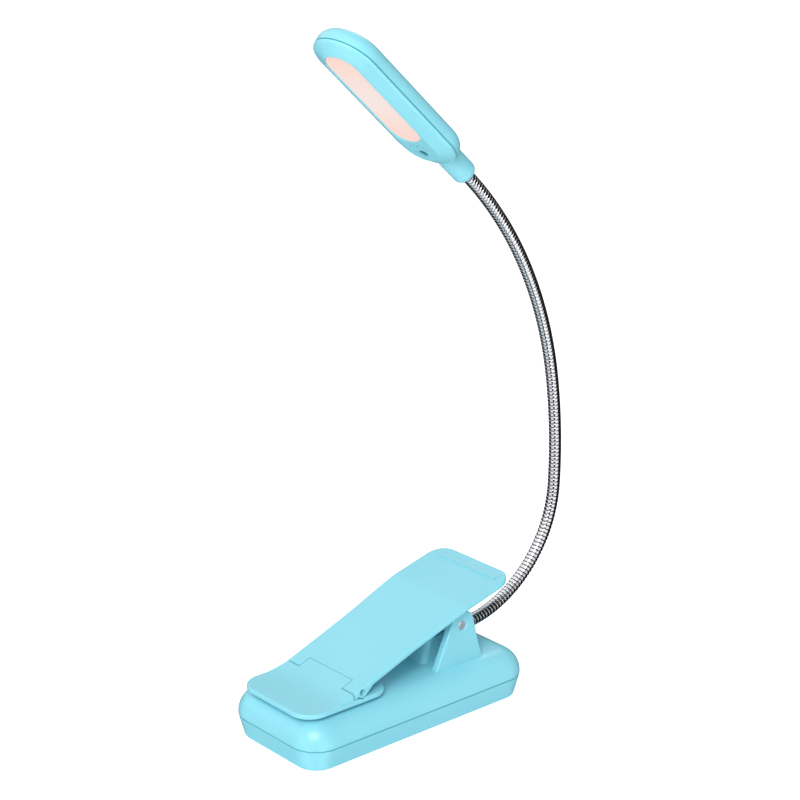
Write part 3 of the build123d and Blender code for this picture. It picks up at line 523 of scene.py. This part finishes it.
def neckLine():  # bezier through the ends of the bends, with handles that make true arcs
    line = bpy.data.curves.new("neck line", "CURVE")
    line.dimensions = "3D"
    line.resolution_u = 128
    spline = line.splines.new("BEZIER")
    start = neckPlace(0)[0]
    stops = [(start - Vector((neck["root"], 0, 0)), 0.0)]
    handles = [(0.001, neck["root"] / 3)]
    stops.append((neckPlace(neck["straight"])[0], 0.0))
    handles.append(((neck["root"] + neck["straight"]) / 3, None))
    done = neck["straight"]
    for radius, turn in neck["bends"]:
        reach = 4 / 3 * math.tan(math.radians(turn) / 4) * radius
        handles[-1] = (handles[-1][0], reach)
        done += radius * math.radians(turn)
        place, heading, _ = neckPlace(done - 1e-9)
        stops.append((place, heading))
        handles.append((reach, None))
    place, heading = stops[-1]
    handles[-1] = (handles[-1][0], neck["end"] / 3)
    stops.append((place + Vector((math.cos(heading), 0, math.sin(heading))) * neck["end"], heading))
    handles.append((neck["end"] / 3, 0.001))
    spline.bezier_points.add(len(stops) - 1)
    for point, (place, heading), (before, after) in zip(spline.bezier_points, stops, handles):
        along = Vector((math.cos(heading), 0, math.sin(heading)))
        point.handle_left_type = point.handle_right_type = "FREE"
        point.co = place
        point.handle_left = place - along * before
        point.handle_right = place + along * after
    return line


def straightHose(length):  # screw one turn's profile along X
    pitch, radius, groove = neck["pitch"], neck["radius"], neck["groove"]
    crest = [0.06, 0.1, 0.16, 0.26, 0.4, 0.6, 0.74, 0.84, 0.9, 0.94]  # a flat strip with soft shoulders
    profile = [(share, groove * (abs(share - 0.5) / 0.45) ** 12) for share in crest]
    profile = [(0.0, groove), (0.03, groove)] + profile + [(0.97, groove), (1.0, groove)]
    mesh = bpy.data.meshes.new("hose")
    mesh.from_pydata([(share * pitch, 0, radius - depth) for share, depth in profile],
                     [(k, k + 1) for k in range(len(profile) - 1)], [])
    hose = bpy.data.objects.new("hose", mesh)
    scene.collection.objects.link(hose)
    makeActive(hose)
    screw = hose.modifiers.new("wind", "SCREW")
    screw.axis = "X"
    screw.screw_offset = pitch
    screw.steps = screw.render_steps = neck["around"]
    screw.iterations = int(length / pitch) + 4
    screw.use_merge_vertices = True
    screw.merge_threshold = 1e-6
    applyModifiers(hose)
    hose.data.transform(Matrix.Translation((-2 * pitch, 0, 0)))
    cleanMesh(hose)
    hose.data.materials.append(metal["hose chrome"])
    hose.data.materials.append(metal["hose groove shade"])
    # faces deep in the groove take the painted groove shade
    for face in hose.data.polygons:
        face.material_index = int(math.hypot(face.center.y, face.center.z) < radius - 0.8 * groove)
    return hose


def cutHose(hose, name, start, end):  # the length of hose between two distances, capped
    piece = copyOf(hose, name)
    makeActive(piece)
    bpy.ops.object.mode_set(mode="EDIT")
    for place, inner, outer in ((start, True, False), (end, False, True)):
        bpy.ops.mesh.select_all(action="SELECT")
        bpy.ops.mesh.bisect(plane_co=(place, 0, 0), plane_no=(1, 0, 0), use_fill=True,
                            clear_inner=inner, clear_outer=outer, threshold=1e-7)
    bpy.ops.object.mode_set(mode="OBJECT")
    return piece


neckCurve = bpy.data.objects.new("neck line", neckLine())
scene.collection.objects.link(neckCurve)
hose = straightHose(neck["root"] + neckLength + neck["end"])
stretch = neckLength / neck["joints"]
for k in range(neck["joints"]):
    start = 0 if k == 0 else neck["root"] + k * stretch
    end = neck["root"] + (neckLength + neck["end"] if k == neck["joints"] - 1 else (k + 1) * stretch)
    piece = cutHose(hose, f"neck_hose_{k}", start, end)
    bend = piece.modifiers.new("follow", "CURVE")
    bend.object = neckCurve
    applyModifiers(piece)
    cleanMesh(piece)
    smoothByAngle(piece, 50)
    stoodFor = [f"gooseneck_link_{k}"] + ([f"gooseneck_link_{k + 1}"] if k == neck["joints"] - 1 else [])
    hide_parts(*stoodFor)
    first = neckPlace(k * stretch + (0.0015 if k else 0.001))[0]
    last = neckPlace((k + 1) * stretch - 0.0015)[0]
    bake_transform(piece)
bpy.data.objects.remove(hose)
bpy.data.objects.remove(neckCurve)
print("gooseneck wound")


# torsion springs, as wire wound round the main pin

spring = {
    "mean": 0.00315, "wire": 0.00042, "inner": 0.00205, "outer": 0.00615, "turns": 4,
    "perTurn": 40, "drop": 0.0022, "bend": 0.0009, "foot": 0.0134, "leg": 0.0138, "slope": 14.2,
}


pinMiddle = Vector(joints["lever_pivot"]["pos_m"])


def springPath(side):  # lever leg, coil from the outer end to the inner one, then the leg on the tower
    slope = math.radians(spring["slope"])
    first, last = math.pi / 2 + slope, math.pi + 2 * math.pi * spring["turns"]
    outer, inner = Vector((0, side * spring["outer"], 0)), Vector((0, side * spring["inner"], 0))
    start = pinMiddle + outer + Vector((math.cos(first), 0, math.sin(first))) * spring["mean"]
    path = [start + Vector((math.cos(slope), 0, math.sin(slope))) * spring["leg"]]
    count = round(spring["perTurn"] * (last - first) / math.tau)
    for k in range(count + 1):
        turn = first + (last - first) * k / count
        across = outer.lerp(inner, k / count)
        path.append(pinMiddle + across + Vector((math.cos(turn), 0, math.sin(turn))) * spring["mean"])
    corner = path[-1] - Vector((spring["bend"], 0, spring["drop"]))
    for k in range(9):
        turn = math.radians(90 * k / 8)
        path.append(corner + Vector((math.cos(turn), 0, -math.sin(turn))) * spring["bend"])
    path.append(Vector((spring["foot"], path[-1].y, path[-1].z)))
    return path


for side, place in ((-1, "near"), (1, "far")):
    line = bpy.data.curves.new("spring line", "CURVE")
    line.dimensions = "3D"
    line.bevel_depth = spring["wire"]
    line.bevel_resolution = 4
    line.use_fill_caps = True
    path = springPath(side)
    strand = line.splines.new("POLY")
    strand.points.add(len(path) - 1)
    for point, spot in zip(strand.points, path):
        point.co = (*spot, 1)
    coil = bpy.data.objects.new(f"spring_wire_{place}", line)
    scene.collection.objects.link(coil)
    makeActive(coil)
    bpy.ops.object.convert(target="MESH")
    coil = bpy.context.object
    coil.name = coil.data.name = f"spring_wire_{place}"
    cleanMesh(coil)
    smoothByAngle(coil, 50)
    attach(coil, None, "spring_steel", metal["drawn spring"], f"torsion_spring_{place}")
    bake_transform(coil)
print("torsion springs wound")
